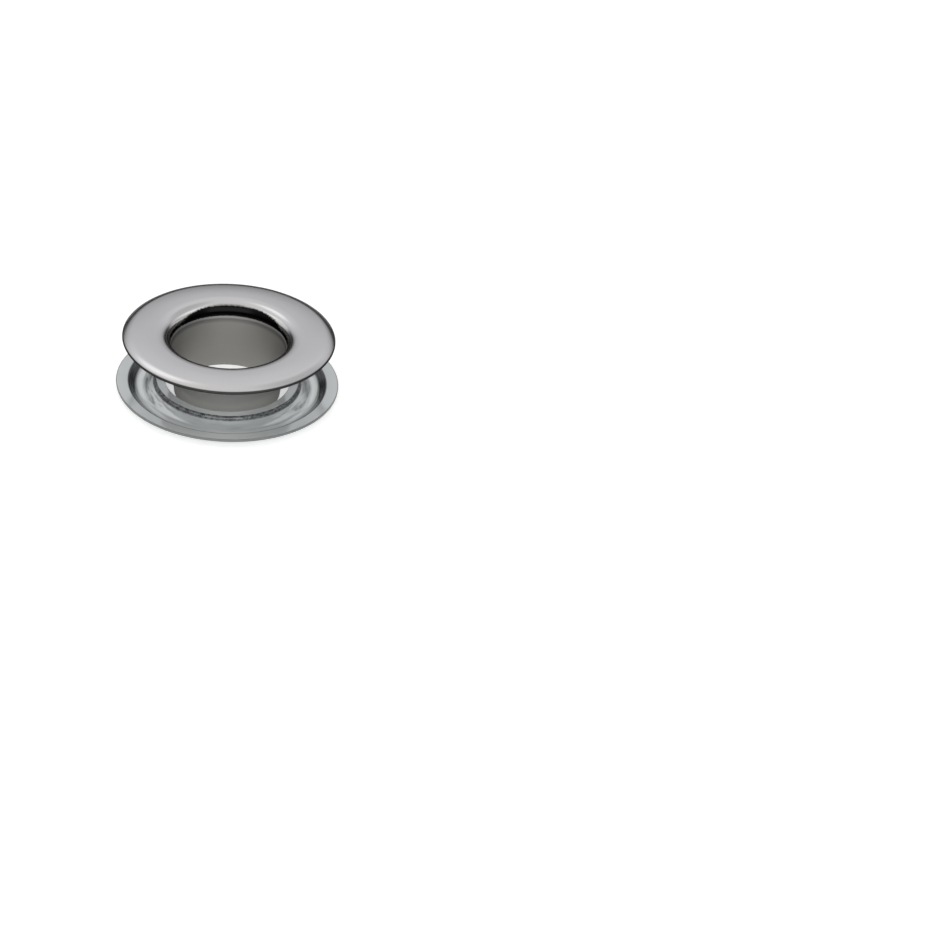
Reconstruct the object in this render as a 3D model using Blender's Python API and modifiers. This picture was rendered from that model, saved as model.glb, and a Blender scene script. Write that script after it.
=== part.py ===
# Grommet eyelet: a two-piece set for a 12 mm hole in cloth or banner.
# The set is one drawn eyelet, with its tapered barrel and domed flange, and one pressed washer.
# Both pieces are thin sheet turned about +Z. Units are metres and +Z is up.
# Both stand on z = 0: the eyelet on the end of its barrel, the washer round it on its bead.
from math import cos, radians, sin, tan

import bpy

MM = 0.001

# Eyelet sizes
EYELET_SHEET = 0.35 * MM        # thickness of the plated sheet
EYELET_HEIGHT = 7.45 * MM       # barrel end to the top of the crown
NECK_BORE_RADIUS = 6.55 * MM    # inside the straight neck, where the bore is widest
NECK_LENGTH = 0.22 * MM         # straight neck between the mouth and the tapered barrel
BARREL_TAPER = 9.3              # degrees that the barrel's wall leans inward, going down
MOUTH_FILLET = 1.00 * MM        # fillet on the cloth side, between neck and flange
CROWN_RADIUS = 3.40 * MM        # softer curve from the mouth up to the top of the crown
CROWN_START = 10.0              # degrees of slope where the mouth hands over to the crown
CROWN_LAND = 0.50 * MM          # flat ring on top of the crown
FLANGE_WIDTH = 5.10 * MM        # neck's outside to the edge of the flange
CROWN_FALL = 6.0                # degrees that the flange slopes down where the lip starts
LIP_WIDTH = 1.05 * MM           # turned-down lip round the flange
LIP_DIP = 38.0                  # degrees that the lip points down at its edge

# Washer sizes
WASHER_SHEET = 0.30 * MM        # thickness of the plated sheet
NECK_CLEARANCE = 0.14 * MM      # washer's hole to the outside of the neck it is pressed down to
SEAT_WIDTH = 0.90 * MM          # flat ring at the hole, on which the barrel is rolled over
SEAT_RISE = 0.35 * MM           # seat above the rim
STEP_SLOPE = 78.0               # degrees, the small steep step that the press leaves round the seat
STEP_FOLD = 0.05 * MM           # inside radius of both folds of the step
SHOULDER_SLOPE = 25.0           # degrees of slope at the foot of the step
SHOULDER_RADIUS = 3.60 * MM     # soft shoulder from the step down to the bead
INNER_SLOPE = 40.0              # degrees, steepest part of the bead's seat side
OUTER_SLOPE = 39.0              # degrees, rim side of the bead
BEAD_DEPTH = 0.87 * MM          # rim down to the bottom of the bead
BEAD_RADIUS = 1.18 * MM         # outside radius of the bead
RIM_FOLD = 0.05 * MM            # inside radius of the fold at the rim
RIM_WIDTH = 1.25 * MM           # flat rim outside the bead

# Facets
TURN_STEPS = 84
MOUTH_STEPS = 6
CROWN_STEPS = 2
LIP_STEPS = 3
FOLD_STEPS = 2
SHOULDER_STEPS = 1
BEAD_STEPS = 3
SHARP_EDGE = 40.0               # degrees, above which an edge is shaded sharp

LEVEL = 0.0                     # heading of a sheet that runs straight outward
UPRIGHT = 90.0                  # heading of a sheet that runs straight up


def run(line, length):
    """Adds a straight stretch to a centre line of (radius, height, heading in degrees)."""
    r, z, heading = line[-1]
    line.append((r + length * cos(radians(heading)), z + length * sin(radians(heading)), heading))


def bend(line, new_heading, radius, steps):
    """Adds an arc to a centre line, which turns it from its last heading to new_heading."""
    r, z, heading = line[-1]
    side = 1 if new_heading > heading else -1
    centre_r = r - side * radius * sin(radians(heading))
    centre_z = z + side * radius * cos(radians(heading))
    for step in range(1, steps + 1):
        angle = heading + (new_heading - heading) * step / steps
        on_arc_r = centre_r + side * radius * sin(radians(angle))
        on_arc_z = centre_z - side * radius * cos(radians(angle))
        line.append((on_arc_r, on_arc_z, angle))


def arc_rise(radius, slope):
    """Height between the two ends of an arc that turns from level to slope."""
    return radius * (1 - cos(radians(slope)))


def sheet_section(line, thickness, start_stretch=1.0):
    """Closed outline of a sheet of even thickness about its centre line.

    The upper side comes first and the lower side runs back, so the outer side runs down.
    start_stretch widens the first cut, for a sheet that leans and is cut level.
    """
    upper = []
    lower = []
    for index, (r, z, heading) in enumerate(line):
        half = thickness / 2
        slant = heading
        if index == 0 and start_stretch != 1.0:
            half *= start_stretch
            slant = UPRIGHT
        across_r = -half * sin(radians(slant))
        across_z = half * cos(radians(slant))
        upper.append((r + across_r, z + across_z))
        lower.append((r - across_r, z - across_z))
    return upper + lower[::-1]


def turned(name, outline, material, collection):
    """Turns a closed outline about +Z and keeps the result as one mesh object."""
    profile = bpy.data.meshes.new(name + "_profile")
    count = len(outline)
    points = [(r, 0.0, z) for r, z in outline]
    edges = [(index, (index + 1) % count) for index in range(count)]
    profile.from_pydata(points, edges, [])
    piece = bpy.data.objects.new(name, profile)
    collection.objects.link(piece)

    screw = piece.modifiers.new("turn", "SCREW")
    screw.axis = "Z"
    screw.angle = radians(360.0)
    screw.steps = TURN_STEPS
    screw.render_steps = TURN_STEPS
    screw.use_merge_vertices = False
    screw.use_smooth_shade = True

    evaluated = piece.evaluated_get(bpy.context.evaluated_depsgraph_get())
    piece.data = bpy.data.meshes.new_from_object(evaluated)
    piece.data.name = name
    piece.modifiers.clear()
    bpy.data.meshes.remove(profile)
    piece.data.shade_smooth()
    piece.data.set_sharp_from_angle(angle=radians(SHARP_EDGE))
    piece.data.materials.append(material)
    return piece


def plated_metal(name, colour, roughness):
    """Plain metal for the model: the plating's colour and how sharply it mirrors."""
    material = bpy.data.materials.new(name)
    material.use_nodes = True
    shader = material.node_tree.nodes["Principled BSDF"]
    shader.inputs["Base Color"].default_value = (*colour, 1.0)
    shader.inputs["Metallic"].default_value = 1.0
    shader.inputs["Roughness"].default_value = roughness
    return material


def eyelet_section():
    """Barrel, neck, mouth, crown and lip of the eyelet, as one drawn sheet."""
    half = EYELET_SHEET / 2
    neck_r = NECK_BORE_RADIUS + half
    mouth_radius = MOUTH_FILLET + half
    mouth_rise = mouth_radius * cos(radians(CROWN_START))
    crown_rise = arc_rise(CROWN_RADIUS, CROWN_START)
    neck_top = EYELET_HEIGHT - half - mouth_rise - crown_rise
    neck_foot = neck_top - NECK_LENGTH
    barrel_end_r = neck_r - neck_foot * tan(radians(BARREL_TAPER))

    line = [
        (barrel_end_r, 0.0, UPRIGHT - BARREL_TAPER),
        (neck_r, neck_foot, UPRIGHT - BARREL_TAPER / 2),
        (neck_r, neck_top, UPRIGHT),
    ]
    bend(line, CROWN_START, mouth_radius, MOUTH_STEPS)
    bend(line, LEVEL, CROWN_RADIUS, CROWN_STEPS)
    run(line, CROWN_LAND)

    edge_r = neck_r + half + FLANGE_WIDTH - half * sin(radians(LIP_DIP))
    lip_r = edge_r - LIP_WIDTH
    fall_radius = (lip_r - line[-1][0]) / sin(radians(CROWN_FALL))
    lip_radius = LIP_WIDTH / (sin(radians(LIP_DIP)) - sin(radians(CROWN_FALL)))
    bend(line, -CROWN_FALL, fall_radius, CROWN_STEPS)
    bend(line, -LIP_DIP, lip_radius, LIP_STEPS)
    return sheet_section(line, EYELET_SHEET, 1 / cos(radians(BARREL_TAPER)))


def washer_section():
    """Seat, step, bead and rim of the washer, as one pressed sheet that lies on its bead."""
    half = WASHER_SHEET / 2
    hole_r = NECK_BORE_RADIUS + EYELET_SHEET + NECK_CLEARANCE
    step_fold = STEP_FOLD + half
    rim_fold = RIM_FOLD + half
    bead_radius = BEAD_RADIUS - half
    step_arcs = 2 * arc_rise(step_fold, STEP_SLOPE) - arc_rise(step_fold, SHOULDER_SLOPE)
    shoulder = arc_rise(SHOULDER_RADIUS, INNER_SLOPE) - arc_rise(SHOULDER_RADIUS, SHOULDER_SLOPE)
    inner_bead = arc_rise(bead_radius, INNER_SLOPE)
    outer_arcs = arc_rise(rim_fold, OUTER_SLOPE) + arc_rise(bead_radius, OUTER_SLOPE)
    step_drop = BEAD_DEPTH + SEAT_RISE - step_arcs - shoulder - inner_bead
    outer_run = (BEAD_DEPTH - outer_arcs) / sin(radians(OUTER_SLOPE))

    line = [(hole_r, half + BEAD_DEPTH + SEAT_RISE, LEVEL)]
    run(line, SEAT_WIDTH)
    bend(line, -STEP_SLOPE, step_fold, FOLD_STEPS)
    run(line, step_drop / sin(radians(STEP_SLOPE)))
    bend(line, -SHOULDER_SLOPE, step_fold, FOLD_STEPS)
    bend(line, -INNER_SLOPE, SHOULDER_RADIUS, SHOULDER_STEPS)
    bend(line, LEVEL, bead_radius, BEAD_STEPS)
    bend(line, OUTER_SLOPE, bead_radius, BEAD_STEPS)
    run(line, outer_run)
    bend(line, LEVEL, rim_fold, FOLD_STEPS)
    run(line, RIM_WIDTH)
    return sheet_section(line, WASHER_SHEET)


def main():
    for old in list(bpy.data.objects):
        bpy.data.objects.remove(old, do_unlink=True)
    parts = bpy.data.collections.new("grommet_eyelet")
    bpy.context.scene.collection.children.link(parts)

    nickel = plated_metal("bright_nickel", (0.60, 0.59, 0.57), 0.22)
    zinc = plated_metal("clear_zinc", (0.60, 0.63, 0.63), 0.30)
    turned("eyelet", eyelet_section(), nickel, parts)
    turned("washer", washer_section(), zinc, parts)


main()
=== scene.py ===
# %% [markdown]
# # A two-piece grommet eyelet
# The real object is a pair of thin metal rings that a press closes on a sheet of cloth. The upper
# ring, the eyelet, is drawn from bright nickel-plated sheet. The lower one, the washer, is pressed
# from zinc-plated sheet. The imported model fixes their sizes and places. This lesson makes both
# surfaces fine enough to mirror a studio, gives them their finish, and lights them.

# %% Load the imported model
from math import atan2, cos, pi, radians, sin, tan

import bmesh
import bpy
from mathutils import Matrix, Vector, noise


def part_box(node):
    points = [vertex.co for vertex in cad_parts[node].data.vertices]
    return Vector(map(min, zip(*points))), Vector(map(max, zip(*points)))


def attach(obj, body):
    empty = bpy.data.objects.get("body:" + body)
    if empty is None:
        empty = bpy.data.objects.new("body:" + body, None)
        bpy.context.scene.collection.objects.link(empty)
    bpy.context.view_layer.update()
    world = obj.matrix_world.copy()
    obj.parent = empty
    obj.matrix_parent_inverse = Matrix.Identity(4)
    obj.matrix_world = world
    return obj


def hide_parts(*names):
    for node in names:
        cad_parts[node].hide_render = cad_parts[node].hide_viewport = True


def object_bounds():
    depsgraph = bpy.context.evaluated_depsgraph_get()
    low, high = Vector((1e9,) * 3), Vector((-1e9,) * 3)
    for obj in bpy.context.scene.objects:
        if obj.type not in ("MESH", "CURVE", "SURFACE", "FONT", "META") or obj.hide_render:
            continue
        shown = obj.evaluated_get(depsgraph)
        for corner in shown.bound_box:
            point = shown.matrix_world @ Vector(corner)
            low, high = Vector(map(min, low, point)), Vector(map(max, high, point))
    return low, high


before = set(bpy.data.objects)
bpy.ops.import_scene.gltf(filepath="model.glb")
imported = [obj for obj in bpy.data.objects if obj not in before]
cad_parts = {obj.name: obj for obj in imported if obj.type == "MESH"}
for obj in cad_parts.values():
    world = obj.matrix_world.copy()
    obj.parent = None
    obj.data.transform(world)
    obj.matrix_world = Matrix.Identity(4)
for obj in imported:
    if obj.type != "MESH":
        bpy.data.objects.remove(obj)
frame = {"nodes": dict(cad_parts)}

MM = 0.001
cad_low, cad_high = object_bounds()
print("nodes:", ", ".join(frame["nodes"]))
print("size in mm:", [round(side / MM, 2) for side in cad_high - cad_low])

# %% [markdown]
# ## How a sheet is described
# Both rings are one sheet of even thickness. A pressman thinks of such a ring as a line that runs
# straight, bends, and runs again. So the section is drawn as its centre line, made of runs and
# bends, and the two faces lie half a thickness to either side. A list of points copied from a
# drawing would also work, but it would hide which bend radius makes which highlight.

# %% Runs and bends
LEVEL = 0.0         # heading in degrees of a sheet that runs straight outward
UPRIGHT = 90.0      # heading of a sheet that runs straight up
BEND_STEP = 2.5     # degrees of a bend to one facet


def run(line, length, steps=1):
    """Adds a straight stretch to a centre line of (radius, height, heading in degrees)."""
    r, z, heading = line[-1]
    for step in range(1, steps + 1):
        along = length * step / steps
        line.append((r + along * cos(radians(heading)), z + along * sin(radians(heading)), heading))


def bend(line, new_heading, radius, least_steps=4):
    """Adds an arc that turns the line to new_heading, a facet for each few degrees."""
    r, z, heading = line[-1]
    side = 1 if new_heading > heading else -1
    centre_r = r - side * radius * sin(radians(heading))
    centre_z = z + side * radius * cos(radians(heading))
    steps = max(least_steps, round(abs(new_heading - heading) / BEND_STEP))
    for step in range(1, steps + 1):
        angle = heading + (new_heading - heading) * step / steps
        on_arc_r = centre_r + side * radius * sin(radians(angle))
        on_arc_z = centre_z - side * radius * cos(radians(angle))
        line.append((on_arc_r, on_arc_z, angle))


def arc_rise(radius, slope):
    """Height between the ends of an arc that turns from level to slope."""
    return radius * (1 - cos(radians(slope)))


print("facets in a quarter bend:", round(UPRIGHT / BEND_STEP))

# %% [markdown]
# ## Cut edges
# Sheet metal is never cut to a knife edge. The blanking die draws the upper corner in a little,
# and plating rounds the rest. A bevel modifier would round all edges alike. Here each of the four
# corners of the section gets its own small radius, because that thin round is what catches a
# hairline of light along the rim.

# %% Rounded corners
CORNER_STEPS = 5


def rounded_corner(before, corner, after, radius):
    """Points of the small arc that replaces a corner between two straight edges."""
    to_before = (Vector(before) - Vector(corner)).normalized()
    to_after = (Vector(after) - Vector(corner)).normalized()
    half_angle = to_before.angle(to_after) / 2
    setback = radius / tan(half_angle)
    middle = Vector(corner) + (to_before + to_after).normalized() * radius / sin(half_angle)
    first = Vector(corner) + to_before * setback - middle
    last = Vector(corner) + to_after * setback - middle
    points = []
    for step in range(CORNER_STEPS + 1):
        spoke = first.lerp(last, step / CORNER_STEPS).normalized() * radius
        points.append(tuple(middle + spoke))
    return points


def sheet_section(line, thickness, corner_radii, start_lean=0.0):
    """Closed outline of an even sheet. start_lean is how far the sheet leans where it is cut level.

    corner_radii are for the start's upper, the end's upper, the end's lower and the start's lower
    corner. The upper face comes first and the lower one runs back.
    """
    upper, lower = [], []
    for index, (r, z, heading) in enumerate(line):
        half = thickness / 2
        if index == 0 and start_lean:
            half /= cos(radians(start_lean))
            heading = UPRIGHT
        across = Vector((-half * sin(radians(heading)), half * cos(radians(heading))))
        upper.append(tuple(Vector((r, z)) + across))
        lower.append(tuple(Vector((r, z)) - across))
    start_up, end_up, end_low, start_low = corner_radii
    outline = rounded_corner(lower[0], upper[0], upper[1], start_up)
    outline += upper[1:-1]
    outline += rounded_corner(upper[-2], upper[-1], lower[-1], end_up)
    outline += rounded_corner(upper[-1], lower[-1], lower[-2], end_low)
    outline += lower[-2:0:-1]
    outline += rounded_corner(lower[1], lower[0], upper[0], start_low)
    print("outline of", len(outline), "points")
    return outline


# %% [markdown]
# ## Turning the section
# A lathe, a screw modifier or a spin would all turn the outline into a ring. Here bmesh spins it,
# because the points can then be moved a few hundredths of a millimetre afterwards. A pressed ring
# is never perfectly flat or round, and that small error is what makes its highlights swim.

# %% Spin a ring and let it be a little uneven
TURN_STEPS = 288
WAVE_SIZE = 1.3         # reach into the noise: a larger one gives more waves round the ring
WIDTH_SEED = 7.0        # keeps the error of radius apart from the error of height
EDGE_POWER = 3          # how much more the outer edge is lifted than the bore


def unevenness(x, y, seed):
    """A slow wave round the ring, from -1 to 1."""
    angle = atan2(y, x)
    place = Vector((WAVE_SIZE * cos(angle), WAVE_SIZE * sin(angle), seed))
    return noise.noise(place)


def turned(name, outline, lift, squeeze, seed):
    """Spins an outline into a ring. lift and squeeze are its largest errors of height and radius.

    The height error grows upward from nothing at the foot, so that the ring still stands on it.
    """
    ring = bmesh.new()
    verts = [ring.verts.new((r, 0.0, z)) for r, z in outline]
    edges = [ring.edges.new((verts[i], verts[(i + 1) % len(verts)])) for i in range(len(verts))]
    bmesh.ops.spin(ring, geom=verts + edges, cent=(0, 0, 0), axis=(0, 0, 1), angle=2 * pi,
                   steps=TURN_STEPS, use_merge=True)
    bmesh.ops.recalc_face_normals(ring, faces=ring.faces)
    widest = max(r for r, z in outline)
    highest = max(z for r, z in outline)
    for vert in ring.verts:
        x, y, z = vert.co
        reach = (x * x + y * y) ** 0.5 / widest
        vert.co.z = z + lift * reach ** EDGE_POWER * z / highest * unevenness(x, y, seed)
        vert.co.xy *= 1 + squeeze / widest * unevenness(x, y, seed + WIDTH_SEED)
    mesh = bpy.data.meshes.new(name)
    ring.to_mesh(mesh)
    ring.free()
    mesh.shade_smooth()
    piece = bpy.data.objects.new(name, mesh)
    bpy.context.scene.collection.objects.link(piece)
    print(name, "has", len(mesh.polygons), "faces")
    return piece


# %% [markdown]
# ## The eyelet
# One drawn sheet: a tapered barrel that will be rolled over in the press, a crease, a short
# straight neck, the mouth that a rope slides over, a crown, and a lip turned down so that the edge
# doesn't cut the cloth. A cone joined to a torus would look alike from afar, but only one line of
# runs and bends keeps the sheet equally thick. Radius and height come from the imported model.

# %% Eyelet sizes
eyelet_low, eyelet_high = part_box("eyelet")
FLANGE_RADIUS = eyelet_high.x
EYELET_HEIGHT = eyelet_high.z
EYELET_SHEET = 0.35 * MM        # thickness of the plated sheet
NECK_BORE_RADIUS = 6.55 * MM    # inside the straight neck
NECK_LENGTH = 0.22 * MM
BARREL_TAPER = 9.3              # degrees that the barrel's wall leans inward, going down
MOUTH_FILLET = 1.00 * MM        # fillet on the cloth side, between neck and flange
CROWN_RADIUS = 3.40 * MM        # softer curve up to the top of the crown
CROWN_START = 10.0              # degrees of slope where the mouth hands over to the crown
CROWN_LAND = 0.50 * MM          # flat ring on top of the crown
CROWN_FALL = 6.0                # degrees that the flange slopes down where the lip starts
LIP_WIDTH = 1.05 * MM
LIP_DIP = 38.0                  # degrees that the lip points down at its edge
LIP_END = 0.12 * MM             # straight end of the lip
# Radii of the four cut corners, in the order that sheet_section takes them
EYELET_CORNERS = (0.05 * MM, 0.10 * MM, 0.04 * MM, 0.05 * MM)

HALF_SHEET = EYELET_SHEET / 2
MOUTH_RADIUS = MOUTH_FILLET + HALF_SHEET
MOUTH_RISE = MOUTH_RADIUS * cos(radians(CROWN_START))
NECK_TOP = EYELET_HEIGHT - HALF_SHEET - MOUTH_RISE - arc_rise(CROWN_RADIUS, CROWN_START)
NECK_FOOT = NECK_TOP - NECK_LENGTH
print("eyelet stands from", round(eyelet_low.z / MM, 2), "to", round(eyelet_high.z / MM, 2), "mm")
print("neck from", round(NECK_FOOT / MM, 2), "to", round(NECK_TOP / MM, 2), "mm")

# %% [markdown]
# The drawing punch leaves a small ledge inside the bore, at the crease between barrel and neck. It
# could be a line in the material, but only a real step catches the light round the whole bore.

# %% Ledge at the crease
LEDGE = 0.06 * MM
CREASE_ROUND = 0.02 * MM        # how far round the crease a point still counts as on it
LEDGE_CORNERS = (0.2, 0.8)      # where both corners of the ledge lie between barrel and neck


def with_ledge(outline, crease_height):
    """Thickens the barrel's wall on its inside, up to the crease, which leaves a ledge there."""
    points = []
    below_last = False
    for r, z in outline:
        inside = r < NECK_BORE_RADIUS + CREASE_ROUND
        below = inside and z < crease_height + CREASE_ROUND
        if below:
            r -= LEDGE * z / crease_height
        if below_last and inside and not below:
            foot = Vector(points[-1])
            for share in LEDGE_CORNERS:
                points.append(tuple(foot.lerp(Vector((r, z)), share)))
        points.append((r, z))
        below_last = below
    print("points added for the ledge:", len(points) - len(outline))
    return points


# %% Eyelet section
def eyelet_outline():
    """The eyelet's section, from the barrel's free end over the mouth to the lip."""
    neck_r = NECK_BORE_RADIUS + HALF_SHEET
    barrel_end_r = neck_r - NECK_FOOT * tan(radians(BARREL_TAPER))
    wall = NECK_FOOT / cos(radians(BARREL_TAPER))

    line = [(barrel_end_r, 0.0, UPRIGHT - BARREL_TAPER)]
    run(line, wall, steps=12)
    line[-1] = (neck_r, NECK_FOOT, UPRIGHT - BARREL_TAPER / 2)
    line.append((neck_r, NECK_FOOT + NECK_LENGTH / 4, UPRIGHT))
    run(line, NECK_LENGTH * 3 / 4)
    bend(line, CROWN_START, MOUTH_RADIUS)
    bend(line, LEVEL, CROWN_RADIUS)
    run(line, CROWN_LAND)

    edge_r = FLANGE_RADIUS - HALF_SHEET * sin(radians(LIP_DIP))
    lip_start = edge_r - LIP_WIDTH
    arc_width = LIP_WIDTH - LIP_END * cos(radians(LIP_DIP))
    fall_radius = (lip_start - line[-1][0]) / sin(radians(CROWN_FALL))
    lip_radius = arc_width / (sin(radians(LIP_DIP)) - sin(radians(CROWN_FALL)))
    bend(line, -CROWN_FALL, fall_radius, least_steps=12)
    bend(line, -LIP_DIP, lip_radius, least_steps=12)
    run(line, LIP_END)
    outline = sheet_section(line, EYELET_SHEET, EYELET_CORNERS, BARREL_TAPER)
    return with_ledge(outline, NECK_FOOT)


eyelet = turned("eyelet_plated", eyelet_outline(), lift=0.03 * MM, squeeze=0.015 * MM, seed=1.0)
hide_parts("eyelet")
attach(eyelet, "root")

# %% [markdown]
# ## The washer
# The washer's flat seat carries the rolled barrel. Round it the press leaves a small steep step, a
# soft shoulder and a bead that stiffens the ring, and then comes a flat rim. It lies on the bead,
# with its cloth side up. It is one more line of runs and bends, and its hole is taken from the
# eyelet's neck and a clearance, so that the two always fit.

# %% Washer sizes
washer_low, washer_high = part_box("washer")
WASHER_RADIUS = washer_high.x
WASHER_SHEET = 0.30 * MM        # thickness of the plated sheet
NECK_CLEARANCE = 0.14 * MM      # hole to the outside of the neck it is pressed down to
HOLE_RADIUS = NECK_BORE_RADIUS + EYELET_SHEET + NECK_CLEARANCE
SEAT_WIDTH = 0.90 * MM
SEAT_RISE = 0.35 * MM           # seat above the rim
STEP_SLOPE = 78.0               # degrees, the small steep step round the seat
STEP_FOLD = 0.05 * MM           # inside radius of both folds of the step
SHOULDER_SLOPE = 25.0           # degrees of slope at the foot of the step
SHOULDER_RADIUS = 3.60 * MM     # soft shoulder from the step down to the bead
INNER_SLOPE = 40.0              # degrees, steepest part of the bead's seat side
OUTER_SLOPE = 39.0              # degrees, rim side of the bead
BEAD_DEPTH = 0.87 * MM          # rim down to the bottom of the bead
BEAD_RADIUS = 1.18 * MM         # outside radius of the bead
RIM_FOLD = 0.05 * MM            # inside radius of the fold at the rim
WASHER_CORNERS = (0.06 * MM, 0.06 * MM, 0.03 * MM, 0.03 * MM)
print("washer stands from", round(washer_low.z / MM, 2), "to", round(washer_high.z / MM, 2), "mm")


# %% Washer section
def washer_outline():
    """The washer's section, from the hole over seat, step, bead and rim to its edge."""
    half = WASHER_SHEET / 2
    step_fold = STEP_FOLD + half
    rim_fold = RIM_FOLD + half
    bead_radius = BEAD_RADIUS - half
    step_arcs = 2 * arc_rise(step_fold, STEP_SLOPE) - arc_rise(step_fold, SHOULDER_SLOPE)
    shoulder = arc_rise(SHOULDER_RADIUS, INNER_SLOPE) - arc_rise(SHOULDER_RADIUS, SHOULDER_SLOPE)
    inner_bead = arc_rise(bead_radius, INNER_SLOPE)
    outer_arcs = arc_rise(rim_fold, OUTER_SLOPE) + arc_rise(bead_radius, OUTER_SLOPE)
    step_drop = BEAD_DEPTH + SEAT_RISE - step_arcs - shoulder - inner_bead
    outer_run = (BEAD_DEPTH - outer_arcs) / sin(radians(OUTER_SLOPE))

    line = [(HOLE_RADIUS, half + BEAD_DEPTH + SEAT_RISE, LEVEL)]
    run(line, SEAT_WIDTH, steps=6)
    bend(line, -STEP_SLOPE, step_fold)
    run(line, step_drop / sin(radians(STEP_SLOPE)))
    bend(line, -SHOULDER_SLOPE, step_fold)
    bend(line, -INNER_SLOPE, SHOULDER_RADIUS)
    bend(line, LEVEL, bead_radius)
    print("bottom of the bead at radius", round(line[-1][0] / MM, 2), "mm")
    bend(line, OUTER_SLOPE, bead_radius)
    run(line, outer_run, steps=3)
    bend(line, LEVEL, rim_fold)
    print("flat rim from radius", round(line[-1][0] / MM, 2), "mm")
    run(line, WASHER_RADIUS - line[-1][0], steps=8)
    return sheet_section(line, WASHER_SHEET, WASHER_CORNERS)


washer = turned("washer_plated", washer_outline(), lift=0.02 * MM, squeeze=0.015 * MM, seed=4.0)
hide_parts("washer")
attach(washer, "root")

# %% [markdown]
# ## Shader helpers
# The finishes differ by where they are on the ring: a cut edge, a burnished throat, a duller drawn
# barrel. All of that depends only on radius, height and side, so a few small node groups that read
# the object's own coordinates serve both metals. Painted textures could do the same, but a mask
# that is worked out stays sharp in a close view and needs no unwrapping. Node trees are long to
# write out, so a few helpers come first.


# %% Helpers for any node tree
def math_node(tree, operation, first, second=None, clamp=False):
    """A Math node. Its inputs are sockets or plain numbers, and its output socket comes back."""
    node = tree.nodes.new("ShaderNodeMath")
    node.operation = operation
    node.use_clamp = clamp
    for socket, value in zip(node.inputs, (first, second)):
        if value is None:
            continue
        if isinstance(value, (int, float)):
            socket.default_value = value
        else:
            tree.links.new(value, socket)
    return node.outputs[0]


def between(tree, value, low, high, clamp=False):
    """Takes a value from 0 to 1 to the range from low to high."""
    return math_node(tree, "ADD", math_node(tree, "MULTIPLY", value, high - low), low, clamp)


def plus_share(tree, value, more, share):
    """Adds a share of one value to another."""
    return math_node(tree, "ADD", value, math_node(tree, "MULTIPLY", more, share))


def distance(tree, x, y):
    """Distance of the point (x, y) from the origin."""
    x_squared = math_node(tree, "MULTIPLY", x, x)
    y_squared = math_node(tree, "MULTIPLY", y, y)
    return math_node(tree, "SQRT", math_node(tree, "ADD", x_squared, y_squared))


# %% Helpers for node groups
def new_group(name, inputs, outputs):
    """An empty shader node group with named float inputs (with defaults) and outputs."""
    tree = bpy.data.node_groups.new(name, "ShaderNodeTree")
    for socket_name, default in inputs:
        socket = tree.interface.new_socket(socket_name, in_out="INPUT", socket_type="NodeSocketFloat")
        socket.default_value = default
    for socket_name in outputs:
        tree.interface.new_socket(socket_name, in_out="OUTPUT", socket_type="NodeSocketFloat")
    print("group:", name)
    return tree, tree.nodes.new("NodeGroupInput"), tree.nodes.new("NodeGroupOutput")


def own_place(tree):
    """The shaded point's x, y and z on the piece itself, in metres."""
    place = tree.nodes.new("ShaderNodeTexCoord")
    split = tree.nodes.new("ShaderNodeSeparateXYZ")
    tree.links.new(place.outputs["Object"], split.inputs[0])
    return tuple(split.outputs)


def in_mm(tree, length):
    """A length in millimetres."""
    return math_node(tree, "DIVIDE", length, MM)


# %% [markdown]
# ## One ring of the surface
# On a turned piece a change of finish follows a circle. The ring mask is 1 between two radii and
# two heights and fades out at each of them, because no polish or stain ends at a hard line. Each
# of the four limits is a ramp that is half way up at the limit itself, and their product is the
# mask.

# %% Ring mask
def make_ring_mask():
    """Ring Mask: 1 between two radii and two heights in mm, fading out over Softness."""
    inputs = [("Inner", 0.0), ("Outer", 99.0), ("Low", -99.0), ("High", 99.0), ("Softness", 0.1)]
    tree, given, result = new_group("Ring Mask", inputs, ["Mask"])
    x, y, z = own_place(tree)
    radius = in_mm(tree, distance(tree, x, y))
    height = in_mm(tree, z)
    sides = [
        (radius, given.outputs["Inner"]),
        (given.outputs["Outer"], radius),
        (height, given.outputs["Low"]),
        (given.outputs["High"], height),
    ]
    mask = None
    for larger, smaller in sides:
        inside = math_node(tree, "SUBTRACT", larger, smaller)
        ramp = math_node(tree, "DIVIDE", inside, given.outputs["Softness"])
        ramp = math_node(tree, "ADD", ramp, 0.5, clamp=True)
        mask = ramp if mask is None else math_node(tree, "MULTIPLY", mask, ramp)
    tree.links.new(mask, result.inputs["Mask"])
    return tree


ring_mask = make_ring_mask()

# %% [markdown]
# ## One side of the ring
# Oil runs to one side, and a worn die doesn't rub evenly all round. The side mask compares the
# direction from the axis with one that the material gives. An angle would say the same, but it
# jumps from 360 to 0 degrees somewhere, and a cosine has no such seam.

# %% Side mask
def make_side_mask():
    """Side Mask: grows with the cosine to (Toward X, Toward Y), from 0 at Start to 1 at Full."""
    inputs = [("Toward X", 0.0), ("Toward Y", 1.0), ("Start", 0.0), ("Full", 1.0)]
    tree, given, result = new_group("Side Mask", inputs, ["Mask"])
    x, y = own_place(tree)[:2]
    along_x = math_node(tree, "MULTIPLY", x, given.outputs["Toward X"])
    along_y = math_node(tree, "MULTIPLY", y, given.outputs["Toward Y"])
    along = math_node(tree, "ADD", along_x, along_y)
    cosine = math_node(tree, "DIVIDE", along, distance(tree, x, y))
    above = math_node(tree, "SUBTRACT", cosine, given.outputs["Start"])
    span = math_node(tree, "SUBTRACT", given.outputs["Full"], given.outputs["Start"])
    tree.links.new(math_node(tree, "DIVIDE", above, span, clamp=True), result.inputs["Mask"])
    return tree


side_mask = make_side_mask()

# %% [markdown]
# ## Press marks
# Press marks run either round the ring, where a turned die has rubbed, or outward, where the sheet
# was stretched. One group makes both: it reads a noise in polar coordinates, so a high count round
# the ring with a low one across it gives radial streaks, and the other way about gives rings.

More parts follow.
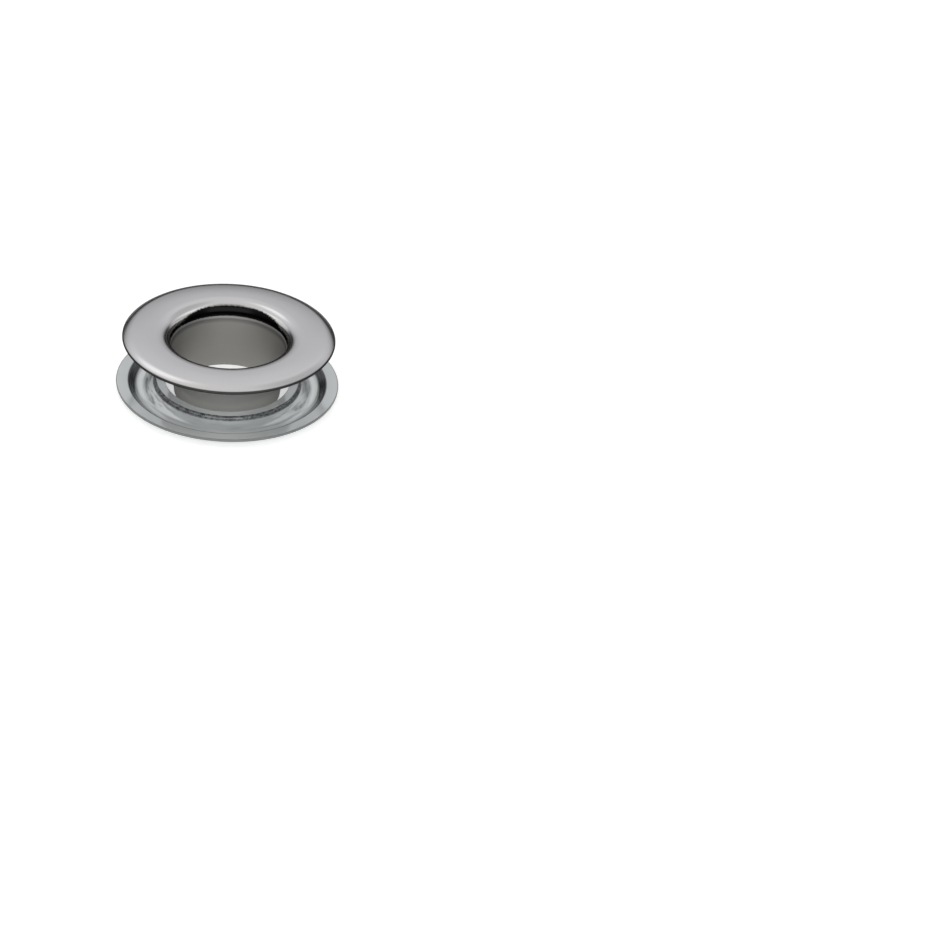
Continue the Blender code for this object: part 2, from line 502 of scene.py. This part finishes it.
# %% Streaks in polar coordinates
def make_streaks():
    """Streaks: noise stretched round or across the ring, from 0 to 1."""
    inputs = [("Round", 20.0), ("Across", 1.0), ("Detail", 2.0)]
    tree, given, result = new_group("Streaks", inputs, ["Value"])
    x, y, z = own_place(tree)
    radius = distance(tree, x, y)
    place = tree.nodes.new("ShaderNodeCombineXYZ")
    for socket, value in zip(place.inputs, (x, y)):
        direction = math_node(tree, "DIVIDE", value, radius)
        tree.links.new(math_node(tree, "MULTIPLY", direction, given.outputs["Round"]), socket)
    along_sheet = math_node(tree, "ADD", in_mm(tree, radius), in_mm(tree, z))
    across = math_node(tree, "MULTIPLY", along_sheet, given.outputs["Across"])
    tree.links.new(across, place.inputs["Z"])
    grain = tree.nodes.new("ShaderNodeTexNoise")
    grain.inputs["Scale"].default_value = 1.0
    tree.links.new(given.outputs["Detail"], grain.inputs["Detail"])
    tree.links.new(place.outputs[0], grain.inputs["Vector"])
    tree.links.new(grain.outputs["Fac"], result.inputs["Value"])
    return tree


streaks = make_streaks()

# %% [markdown]
# ## Grain of the plating
# Plated steel isn't smooth when seen close: it has a fine grain, clouds where the coat is a little
# thicker, and small pits in patches where the sheet was squeezed. Noise and cells sized in
# millimetres give all three, and each metal takes from them what it needs.

# %% Plating grain
PATCH_START = 0.38      # value of the patch noise from which there are pits
PATCH_GAIN = 5.0


def make_grain():
    """Plating Grain: fine grain, slow clouding and small pits, each from 0 to 1."""
    inputs = [("Grain Size", 0.15), ("Cloud Size", 4.0), ("Pit Size", 0.25), ("Pit Share", 0.2),
              ("Patch Size", 0.40)]
    tree, given, result = new_group("Plating Grain", inputs, ["Grain", "Cloud", "Pits"])
    place = tree.nodes.new("ShaderNodeTexCoord")

    def sized(kind, size_name):
        """A texture whose features are about as large as the named input says, in mm."""
        node = tree.nodes.new(kind)
        in_metres = math_node(tree, "MULTIPLY", given.outputs[size_name], MM)
        tree.links.new(math_node(tree, "DIVIDE", 1.0, in_metres), node.inputs["Scale"])
        tree.links.new(place.outputs["Object"], node.inputs["Vector"])
        return node

    grain = sized("ShaderNodeTexNoise", "Grain Size")
    grain.inputs["Detail"].default_value = 3.0
    cloud = sized("ShaderNodeTexNoise", "Cloud Size")
    cloud.inputs["Detail"].default_value = 2.0
    cells = sized("ShaderNodeTexVoronoi", "Pit Size")
    patches = sized("ShaderNodeTexNoise", "Patch Size")
    patches.inputs["Detail"].default_value = 2.0
    depth = math_node(tree, "SUBTRACT", given.outputs["Pit Share"], cells.outputs["Distance"])
    pits = math_node(tree, "DIVIDE", depth, given.outputs["Pit Share"], clamp=True)
    patchy = math_node(tree, "SUBTRACT", patches.outputs["Fac"], PATCH_START)
    patchy = math_node(tree, "MULTIPLY", patchy, PATCH_GAIN, clamp=True)
    tree.links.new(grain.outputs["Fac"], result.inputs["Grain"])
    tree.links.new(cloud.outputs["Fac"], result.inputs["Cloud"])
    tree.links.new(math_node(tree, "MULTIPLY", pits, patchy), result.inputs["Pits"])
    return tree


grain_group = make_grain()

# %% [markdown]
# ## Inside a material
# A material places the groups with its own values, lays one colour over the other by their masks,
# and gets one bump from what they add up to. The Principled shader itself stays in the material.

# %% Helpers inside a material
def new_material(name):
    """A material with its node tree and its Principled shader."""
    material = bpy.data.materials.new(name)
    material.use_nodes = True
    return material, material.node_tree, material.node_tree.nodes["Principled BSDF"]


def placed(tree, group, **values):
    """Puts a node group in a material with its own values. Underscores stand for spaces."""
    node = tree.nodes.new("ShaderNodeGroup")
    node.node_tree = group
    for name, value in values.items():
        node.inputs[name.replace("_", " ")].default_value = value
    return node


def band(tree, **limits):
    """The mask of one band round the ring. Its limits are in mm."""
    return placed(tree, ring_mask, **limits).outputs["Mask"]


def mixed(tree, factor, first, second):
    """A colour mix by a factor socket. Colours are sockets or (red, green, blue)."""
    node = tree.nodes.new("ShaderNodeMix")
    node.data_type = "RGBA"
    factor_socket, first_socket, second_socket = node.inputs[0], node.inputs[6], node.inputs[7]
    tree.links.new(factor, factor_socket)
    for socket, value in ((first_socket, first), (second_socket, second)):
        if isinstance(value, tuple):
            socket.default_value = (*value, 1.0)
        else:
            tree.links.new(value, socket)
    return node.outputs[2]


def add_bump(tree, shader, relief, strength, depth):
    """Gives the shader a bump from a relief of 0 to 1. depth is its height in metres."""
    bump = tree.nodes.new("ShaderNodeBump")
    bump.inputs["Strength"].default_value = strength
    bump.inputs["Distance"].default_value = depth
    tree.links.new(relief, bump.inputs["Height"])
    tree.links.new(bump.outputs["Normal"], shader.inputs["Normal"])


# %% [markdown]
# ## Bright nickel
# The flange was polished by the die and plated, so it mirrors softly. The barrel was drawn and never
# polished: it is duller and a little warmer. Between them lies the throat, with a painted dark
# reflection laid on like an oil stain and, above it, a narrow ring that the die has burnished. A light
# line along the crease is a painted highlight, and the top of the bore below it is painted shade. The
# cut edge is bare dark steel, and its dark band reaches onto the lip as a painted dark outline.
# Separate materials would need faces split along every border, so one Principled shader holds all of
# these and masks choose between them. Its Specular Tint darkens the metal where it is seen edge on.

# %% Nickel colours and places
FLANGE_NICKEL = (0.662, 0.658, 0.678)
DRAWN_NICKEL = (0.37, 0.366, 0.352)
BURNISHED_NICKEL = (0.90, 0.89, 0.87)
CREASE_HIGHLIGHT_NICKEL = (0.25, 0.25, 0.24)
GRAZING_NICKEL = (0.12, 0.12, 0.12)
PAINTED_DARK_NICKEL = (0.008, 0.008, 0.008)
CUT_EDGE_AND_OUTLINE = (0.05, 0.05, 0.05)

BORE = NECK_BORE_RADIUS / MM        # these three are in mm, as the ring mask takes them
CREASE = NECK_FOOT / MM
FLANGE_EDGE = FLANGE_RADIUS / MM
print("crease at radius", round(BORE, 2), "and height", round(CREASE, 2), "mm")

# %% [markdown]
# Above the crease the throat is painted dark: a painted dark reflection, laid on like the oil that the
# sheet is drawn with. It is highest at the back, tapers to both sides and frays outward, along the
# lines in which the sheet was stretched. A picture of it would do for one view. Here the ring mask's
# outer radius follows the side mask, and grain and radial streaks move the edge a little.

# %% Painted dark reflection in the throat
DARK_AT_SIDES = BORE + 0.05        # mm, radius that the painted dark reaches
DARK_AT_BACK = BORE + 0.38
FRAY_MIDDLE = 1.0                   # what grain and rays add up to on average
FRAY = 0.55
DARK_LOW, DARK_HIGH = -0.35, 1.75     # a wide range makes the painted dark's edge steeper
DARK_LIMIT = 8.0                   # keeps the fraying close to the band


def painted_throat_dark(tree, texture):
    """Mask of the painted dark reflection in the throat: highest at the back, with a frayed edge."""
    back = placed(tree, side_mask, Toward_X=0.06, Toward_Y=0.998, Start=0.55, Full=0.92)
    throat = placed(tree, ring_mask, Low=CREASE + 0.05, Softness=0.26)
    reach = between(tree, back.outputs["Mask"], DARK_AT_SIDES, DARK_AT_BACK)
    tree.links.new(reach, throat.inputs["Outer"])
    rays = placed(tree, streaks, Round=34.0, Across=2.5)
    ragged = math_node(tree, "ADD", texture.outputs["Grain"], rays.outputs["Value"])
    ragged = math_node(tree, "SUBTRACT", ragged, FRAY_MIDDLE)
    painted_dark = plus_share(tree, throat.outputs["Mask"], ragged, FRAY)
    painted_dark = between(tree, painted_dark, DARK_LOW, DARK_HIGH, clamp=True)
    nearby = math_node(tree, "MULTIPLY", throat.outputs["Mask"], DARK_LIMIT, clamp=True)
    return math_node(tree, "MULTIPLY", painted_dark, nearby)


# %% Colour of the nickel
CLOUDING = 0.10         # how far the clouds go towards the drawn nickel
BORE_TOP_SHADE = 0.55         # how dark the painted shade at the top of the bore, below the crease, gets


def nickel_colour(tree, texture, drawn, edge):
    """Base colour of the eyelet, laid on from the widest area to the narrowest ring."""
    # painted shade at the top of the bore, just below the crease
    bore_top_shade = band(tree, Outer=BORE + 0.15, Low=CREASE - 0.50, High=CREASE - 0.02, Softness=0.50)
    burnished = band(tree, Inner=BORE + 0.05, Outer=BORE + 0.41, Low=CREASE + 0.35, Softness=0.10)
    # painted highlight: a light line along the crease, between the darker throat and bore
    crease = band(tree, Inner=BORE - 0.15, Outer=BORE + 0.15, Low=CREASE - 0.04, High=CREASE + 0.04,
                  Softness=0.04)
    clouds = between(tree, texture.outputs["Cloud"], 0.0, CLOUDING)

    colour = mixed(tree, drawn, FLANGE_NICKEL, DRAWN_NICKEL)
    colour = mixed(tree, clouds, colour, DRAWN_NICKEL)
    colour = mixed(tree, between(tree, bore_top_shade, 0.0, BORE_TOP_SHADE), colour, PAINTED_DARK_NICKEL)
    colour = mixed(tree, burnished, colour, BURNISHED_NICKEL)
    # painted dark reflection in the throat, laid on like an oil stain
    colour = mixed(tree, painted_throat_dark(tree, texture), colour, PAINTED_DARK_NICKEL)
    colour = mixed(tree, crease, colour, CREASE_HIGHLIGHT_NICKEL)
    return mixed(tree, edge, colour, CUT_EDGE_AND_OUTLINE)


# %% Nickel material
NICKEL_SMOOTHEST, NICKEL_ROUGHEST = 0.14, 0.24
DRAWN_ROUGHER = 0.36
EDGE_ROUGHER = 0.25
GRAIN_SHARE, RINGS_SHARE = 0.6, 0.4


def nickel_material():
    """Polished flange, painted dark throat, dull drawn barrel and bare cut edge with a painted dark
    outline.
    """
    material, tree, shader = new_material("bright_nickel")
    shader.inputs["Metallic"].default_value = 1.0
    shader.inputs["Specular Tint"].default_value = (*GRAZING_NICKEL, 1.0)

    texture = placed(tree, grain_group, Grain_Size=0.16, Cloud_Size=5.0, Pit_Size=0.5, Pit_Share=0.12)
    rings = placed(tree, streaks, Round=1.5, Across=9.0).outputs["Value"]
    drawn = band(tree, Outer=BORE + 1.05, High=CREASE + 0.30, Softness=0.06)
    # bare dark cut edge, whose band reaches onto the lip as a painted dark outline
    edge = band(tree, Inner=FLANGE_EDGE - 0.18, Softness=0.10)
    tree.links.new(nickel_colour(tree, texture, drawn, edge), shader.inputs["Base Color"])

    rough = between(tree, rings, NICKEL_SMOOTHEST, NICKEL_ROUGHEST)
    rough = plus_share(tree, rough, drawn, DRAWN_ROUGHER)
    rough = plus_share(tree, rough, edge, EDGE_ROUGHER)
    tree.links.new(rough, shader.inputs["Roughness"])

    relief = math_node(tree, "MULTIPLY", texture.outputs["Grain"], GRAIN_SHARE)
    relief = plus_share(tree, relief, rings, RINGS_SHARE)
    add_bump(tree, shader, relief, strength=0.06, depth=0.03 * MM)
    return material


eyelet.data.materials.append(nickel_material())
print("nickel nodes:", len(eyelet.active_material.node_tree.nodes))

# %% [markdown]
# ## Clear zinc
# Zinc plating is cooler in tone than nickel, and its crystals scatter a part of the light, so the
# shader is less than half metallic. A fully metallic one would be dark wherever it mirrors the eyelet
# above it. The floor of the bead is painted brighter, a painted highlight, and the cut edges are
# darker.

# %% Zinc colours and places
ZINC = (0.66, 0.69, 0.70)
ZINC_HIGHLIGHT = (0.80, 0.83, 0.83)
ZINC_SHADE = (0.52, 0.55, 0.55)
ZINC_EDGE = (0.20, 0.21, 0.21)
ZINC_PAINTED_DARK = (0.07, 0.075, 0.08)
ZINC_PIT = (0.02, 0.02, 0.02)

HOLE = HOLE_RADIUS / MM             # these three are in mm, as the ring mask takes them
SEAT_EDGE = HOLE + SEAT_WIDTH / MM
RIM_EDGE = WASHER_RADIUS / MM
print("seat from radius", round(HOLE, 2), "to", round(SEAT_EDGE, 2), "mm")

# %% [markdown]
# On the seat side of the bead single dark marks run round the ring and are faint in front. The slope
# towards the rim is painted dark all over, a painted dark reflection. Both could have a noise of their
# own, but they share the same streaks.

# %% Dark marks and painted dark slope
STREAK_START = 0.48                        # value of the streaks from which a mark shows
STREAKS_ELSEWHERE, STREAKS_IN_FRONT = 3.8, 0.9
RIM_SLOPE_LOW, RIM_SLOPE_HIGH = 0.55, 1.35


def with_slope_marks(tree, colour, die_marks, inner_slope, outer_slope):
    """Adds single dark marks on the seat side of the bead, and paints its rim side dark, a painted dark
    reflection.
    """
    front = placed(tree, side_mask, Toward_X=0.0, Toward_Y=-1.0, Start=0.45, Full=0.90)
    strength = between(tree, front.outputs["Mask"], STREAKS_ELSEWHERE, STREAKS_IN_FRONT)
    streaked = math_node(tree, "SUBTRACT", die_marks, STREAK_START, clamp=True)
    streaked = math_node(tree, "MULTIPLY", streaked, inner_slope)
    streaked = math_node(tree, "MULTIPLY", streaked, strength, clamp=True)
    colour = mixed(tree, streaked, colour, ZINC_EDGE)
    # painted dark reflection on the bead's slope towards the rim
    rim_slope_dark = between(tree, die_marks, RIM_SLOPE_LOW, RIM_SLOPE_HIGH)
    rim_slope_dark = math_node(tree, "MULTIPLY", rim_slope_dark, outer_slope, clamp=True)
    return mixed(tree, rim_slope_dark, colour, ZINC_PAINTED_DARK)


# %% [markdown]
# At the foot of the seat's step the sheet was squeezed hardest. The band there is painted shade in the
# crease at the step's foot, dark with lighter specks and the small black pits of cracked plating. The
# pits are also in the bump, because a dark dot alone looks like dirt on top of the metal.

# %% Painted shade at the foot of the step
SPECK_START, SPECK_GAIN = 0.40, 4.0
FOOT_SHADE = 0.88
PIT_DARKNESS = 1.5


def with_shaded_foot(tree, colour, texture, foot, pitted):
    """Adds the dark band at the foot of the step, painted shade, with its specks and pits."""
    specks = math_node(tree, "SUBTRACT", texture.outputs["Grain"], SPECK_START)
    specks = math_node(tree, "MULTIPLY", specks, SPECK_GAIN, clamp=True)
    foot_colour = mixed(tree, specks, ZINC_PAINTED_DARK, ZINC_EDGE)
    # painted shade in the crease at the foot of the step, with its specks
    colour = mixed(tree, between(tree, foot, 0.0, FOOT_SHADE), colour, foot_colour)
    pits = math_node(tree, "MULTIPLY", pitted, PIT_DARKNESS, clamp=True)
    return mixed(tree, pits, colour, ZINC_PIT)


# %% Zinc material
ZINC_METALLIC = 0.45
ZINC_SPECULAR = 0.25
ZINC_CLOUDING = 0.35
ZINC_SMOOTHEST, ZINC_ROUGHEST = 0.08, 0.18
FOOT_ROUGHER = 0.12
ZINC_GRAIN_SHARE, MARKS_SHARE, PITS_SHARE = 0.25, 0.8, 1.5


def zinc_material():
    """Cool satin zinc with die marks round the bead, a painted highlight on its floor, painted dark on
    its rim side, a pitted foot in painted shade and a darker cut edge.
    """
    material, tree, shader = new_material("clear_zinc")
    shader.inputs["Metallic"].default_value = ZINC_METALLIC
    shader.inputs["Specular IOR Level"].default_value = ZINC_SPECULAR

    texture = placed(tree, grain_group, Grain_Size=0.10, Cloud_Size=3.0, Pit_Size=0.15, Pit_Share=0.80)
    die_marks = placed(tree, streaks, Round=5.0, Across=13.0, Detail=3.0).outputs["Value"]
    foot = band(tree, Inner=SEAT_EDGE + 0.05, Outer=SEAT_EDGE + 0.40, Softness=0.10)
    inner_slope = band(tree, Inner=SEAT_EDGE + 0.51, Outer=SEAT_EDGE + 1.46, Softness=0.40)
    # painted highlight on the floor of the bead
    bead = band(tree, Inner=RIM_EDGE - 3.00, Outer=RIM_EDGE - 2.25, Softness=0.25)
    outer_slope = band(tree, Inner=RIM_EDGE - 2.12, Outer=RIM_EDGE - 1.30, Softness=0.14)
    rim_edge = band(tree, Inner=RIM_EDGE - 0.08, Softness=0.06)
    hole_edge = band(tree, Outer=HOLE + 0.04, Softness=0.06)
    pitted = math_node(tree, "MULTIPLY", texture.outputs["Pits"], foot)

    clouds = between(tree, texture.outputs["Cloud"], 0.0, ZINC_CLOUDING)
    colour = mixed(tree, clouds, ZINC, ZINC_SHADE)
    colour = mixed(tree, bead, colour, ZINC_HIGHLIGHT)
    colour = with_slope_marks(tree, colour, die_marks, inner_slope, outer_slope)
    colour = with_shaded_foot(tree, colour, texture, foot, pitted)
    cut_edges = math_node(tree, "MAXIMUM", rim_edge, hole_edge)
    tree.links.new(mixed(tree, cut_edges, colour, ZINC_EDGE), shader.inputs["Base Color"])

    rough = between(tree, die_marks, ZINC_SMOOTHEST, ZINC_ROUGHEST)
    tree.links.new(plus_share(tree, rough, foot, FOOT_ROUGHER), shader.inputs["Roughness"])

    slopes = math_node(tree, "MAXIMUM", inner_slope, outer_slope)
    marked = math_node(tree, "MULTIPLY", die_marks, slopes)
    relief = math_node(tree, "MULTIPLY", texture.outputs["Grain"], ZINC_GRAIN_SHARE)
    relief = plus_share(tree, relief, marked, MARKS_SHARE)
    relief = plus_share(tree, relief, pitted, -PITS_SHARE)
    add_bump(tree, shader, relief, strength=0.12, depth=0.05 * MM)
    return material


washer.data.materials.append(zinc_material())
print("zinc nodes:", len(washer.active_material.node_tree.nodes))

# %% [markdown]
# ## Floor
# A plain sheet of white paper. A brighter lamp would also make it white, but it would wash out the
# metal. So the sheet glows faintly for the camera and for mirror rays only, and the background
# reads as white while the object's own shadow stays on it.

# %% Floor
FLOOR_SIZE = 3.0            # metres
FLOOR_WHITE = 0.78          # colour of the paper, for all the light that falls on it
FLOOR_LIFT = 0.52           # glow for the camera and for mirror rays
PAPER_ROUGHNESS = 0.9


def floor_material():
    """White paper with a lift that only the camera and mirror rays see."""
    material, tree, shader = new_material("white_paper")
    shader.inputs["Base Color"].default_value = (FLOOR_WHITE, FLOOR_WHITE, FLOOR_WHITE, 1.0)
    shader.inputs["Roughness"].default_value = PAPER_ROUGHNESS
    shader.inputs["Specular IOR Level"].default_value = 0.0
    shader.inputs["Emission Color"].default_value = (1.0, 1.0, 1.0, 1.0)
    rays = tree.nodes.new("ShaderNodeLightPath")
    seen = math_node(tree, "MAXIMUM", rays.outputs["Is Camera Ray"], rays.outputs["Is Glossy Ray"])
    seen = math_node(tree, "MAXIMUM", seen, rays.outputs["Is Transmission Ray"])
    lift = math_node(tree, "MULTIPLY", seen, FLOOR_LIFT)
    tree.links.new(lift, shader.inputs["Emission Strength"])
    return material


bpy.ops.mesh.primitive_plane_add(size=FLOOR_SIZE, location=(0, 0, 0))
floor = bpy.context.object
floor.name = "floor"
floor.data.materials.append(floor_material())
print("floor", FLOOR_SIZE, "m wide")

# %% [markdown]
# ## Studio light
# Shiny metal shows the room, not the lamp. The room here is a tent of soft light, open in front,
# where the camera looks in. Its back wall is dark at the foot, which draws the dark line at the far
# edge of the flange, and its side walls are lit further down. The roof is brighter and a little
# warmer, with a round lamp at the back left and a dimmer patch at the back right. A bright card
# lies low in the opening. All of it could be built from lit planes, but as a sky it has no edges of
# its own to show in the metal.

# %% Studio values
# Each light has a level, and two places between which it grows from nothing to whole. For the
# walls, roof, tint, card and tops a place is a height, the sine of the angle above the table. For
# the sides, the opening, the lamp and the patch it is the cosine of the angle to their middle.
WALL_LIGHT, WALL_FOOT, WALL_FULL = 0.43, 0.20, 0.34
SIDE_LIGHT, SIDE_EDGE, SIDE_FULL = 0.50, 0.66, 0.86
SIDE_FOOT, SIDE_HEM = 0.02, 0.10
ROOF_LIGHT, ROOF_START, ROOF_FULL = 0.39, 0.20, 0.60
LEFT_LIFT = 0.03            # how much lower the light starts on the left
WALL_TINT, ROOF_TINT = (1.0, 1.0, 1.0), (1.0, 0.99, 0.955)
WARM_START, WARM_FULL = 0.60, 0.95
OPENING_SHARE = 0.50        # of the tent's light that is left in the opening
OPENING_EDGE, OPENING_FULL = 0.64, 0.87
OPENING_TOP, OPENING_TOP_FADE = 0.93, 0.985
CARD_LIGHT, CARD_TOP, CARD_FADE = 2.05, 0.55, 0.75
HIGH_LAMP, HIGH_LIGHT, HIGH_EDGE, HIGH_FULL = (-0.37, 0.46, 0.81), 0.52, 0.958, 0.9976
DIM_PATCH, DIM_LIGHT, DIM_EDGE, DIM_FULL = (0.53, 0.33, 0.78), -0.24, 0.880, 0.985
NIGHT = 0.03                # light that comes from everywhere
SMALLEST_LEVEL = 0.001      # so that nothing is divided by zero straight overhead
print("brightest: the card in front,", CARD_LIGHT)


# %% Parts of the studio
def smooth_step(tree, value, low, high):
    """Grows smoothly from 0 at low to 1 at high. low may be the larger one."""
    ramp = tree.nodes.new("ShaderNodeMapRange")
    ramp.interpolation_type = "SMOOTHSTEP"
    tree.links.new(value, ramp.inputs["Value"])
    ramp.inputs["From Min"].default_value = min(low, high)
    ramp.inputs["From Max"].default_value = max(low, high)
    ramp.inputs["To Min"].default_value = 0.0 if low < high else 1.0
    ramp.inputs["To Max"].default_value = 1.0 if low < high else 0.0
    return ramp.outputs["Result"]


def walls_and_roof(tree, x, z, sideways):
    """The tent without its opening. Where the wall's foot is dark, the side walls are lit."""
    height = plus_share(tree, z, x, -LEFT_LIFT)
    walls = smooth_step(tree, height, WALL_FOOT, WALL_FULL)
    tent = math_node(tree, "MULTIPLY", walls, WALL_LIGHT)
    tent = plus_share(tree, tent, smooth_step(tree, height, ROOF_START, ROOF_FULL), ROOF_LIGHT)
    sides = smooth_step(tree, sideways, SIDE_EDGE, SIDE_FULL)
    sides = math_node(tree, "MULTIPLY", sides, smooth_step(tree, z, SIDE_FOOT, SIDE_HEM))
    sides = math_node(tree, "MULTIPLY", sides, smooth_step(tree, z, WALL_FULL, WALL_FOOT))
    return plus_share(tree, tent, sides, SIDE_LIGHT)


def soft_lamp(tree, looking, direction, light, edge, full):
    """A round soft lamp. edge and full are cosines of the angles at which it starts and is whole."""
    toward = tree.nodes.new("ShaderNodeVectorMath")
    toward.operation = "DOT_PRODUCT"
    tree.links.new(looking, toward.inputs[0])
    toward.inputs[1].default_value = Vector(direction).normalized()
    return math_node(tree, "MULTIPLY", smooth_step(tree, toward.outputs["Value"], edge, full), light)


# %% Sky
def studio_sky():
    """A tent of soft light, open towards -Y, as a world that changes with direction only."""
    world = bpy.data.worlds.new("studio")
    world.use_nodes = True
    tree = world.node_tree
    background = tree.nodes["Background"]
    looking = tree.nodes.new("ShaderNodeTexCoord").outputs["Generated"]
    split = tree.nodes.new("ShaderNodeSeparateXYZ")
    tree.links.new(looking, split.inputs[0])
    x, y, z = split.outputs
    level = math_node(tree, "MAXIMUM", distance(tree, x, y), SMALLEST_LEVEL)
    sideways = math_node(tree, "DIVIDE", math_node(tree, "ABSOLUTE", x), level)
    forward = math_node(tree, "DIVIDE", math_node(tree, "MULTIPLY", y, -1.0), level)
    in_front = smooth_step(tree, forward, OPENING_EDGE, OPENING_FULL)

    tent = walls_and_roof(tree, x, z, sideways)
    opening = math_node(tree, "MULTIPLY", in_front, smooth_step(tree, z, OPENING_TOP_FADE, OPENING_TOP))
    tent = math_node(tree, "MULTIPLY", tent, between(tree, opening, 1.0, OPENING_SHARE))
    dim_patch = soft_lamp(tree, looking, DIM_PATCH, DIM_LIGHT, DIM_EDGE, DIM_FULL)
    high_lamp = soft_lamp(tree, looking, HIGH_LAMP, HIGH_LIGHT, HIGH_EDGE, HIGH_FULL)
    card = math_node(tree, "MULTIPLY", in_front, smooth_step(tree, z, CARD_FADE, CARD_TOP))

    light = math_node(tree, "ADD", math_node(tree, "ADD", tent, dim_patch), high_lamp)
    light = plus_share(tree, light, card, CARD_LIGHT)
    tree.links.new(math_node(tree, "ADD", light, NIGHT), background.inputs["Strength"])
    warmed = smooth_step(tree, z, WARM_START, WARM_FULL)
    tree.links.new(mixed(tree, warmed, WALL_TINT, ROOF_TINT), background.inputs["Color"])
    bpy.context.scene.world = world
    print("sky nodes:", len(tree.nodes))


studio_sky()

# %% [markdown]
# ## Camera
# A long lens from about 80 cm, looking down on the set. The set stands left of the middle of a
# square frame, as in the reference. A shifted lens could put it there, but a camera that aims a
# little beside it is simpler to set up on a real table too. It is also rolled a little.

# %% Camera
PIXELS = 950
PIXELS_PER_MM = 8.9
CAMERA_DISTANCE = 800 * MM
CAMERA_ELEVATION = 31.0     # degrees
CAMERA_ROLL = 2.2           # degrees
SENSOR = 36.0               # mm
SET_PIXEL = (228.0, 362.0)  # where the middle of the set lands, from the upper left corner
FARTHEST = 10.0             # metres that the camera sees


def studio_camera():
    """Aims a long lens so that the middle of the set lands on SET_PIXEL."""
    data = bpy.data.cameras.new("camera")
    data.sensor_width = SENSOR
    frame_width = PIXELS / PIXELS_PER_MM * MM
    data.lens = SENSOR * CAMERA_DISTANCE / frame_width
    data.clip_end = FARTHEST
    camera = bpy.data.objects.new("camera", data)
    bpy.context.scene.collection.objects.link(camera)

    middle = Vector((0, 0, (cad_low.z + cad_high.z) / 2))
    up_slope = radians(CAMERA_ELEVATION)
    position = middle + CAMERA_DISTANCE * Vector((0, -cos(up_slope), sin(up_slope)))
    look = (middle - position).normalized()
    right = look.cross(Vector((0, 0, 1))).normalized()
    up = right.cross(look)
    turn = Matrix((right, up, -look)).transposed().to_4x4()
    turn = turn @ Matrix.Rotation(radians(CAMERA_ROLL), 4, "Z")
    off_x = (SET_PIXEL[0] - PIXELS / 2) / PIXELS_PER_MM * MM
    off_y = (PIXELS / 2 - SET_PIXEL[1]) / PIXELS_PER_MM * MM
    turn = turn @ Matrix.Rotation(atan2(off_x, CAMERA_DISTANCE), 4, "Y")
    turn = turn @ Matrix.Rotation(-atan2(off_y, CAMERA_DISTANCE), 4, "X")
    camera.matrix_world = Matrix.Translation(position) @ turn
    bpy.context.scene.camera = camera
    print("lens", round(data.lens), "mm")


studio_camera()
bpy.context.scene.view_settings.view_transform = "Standard"
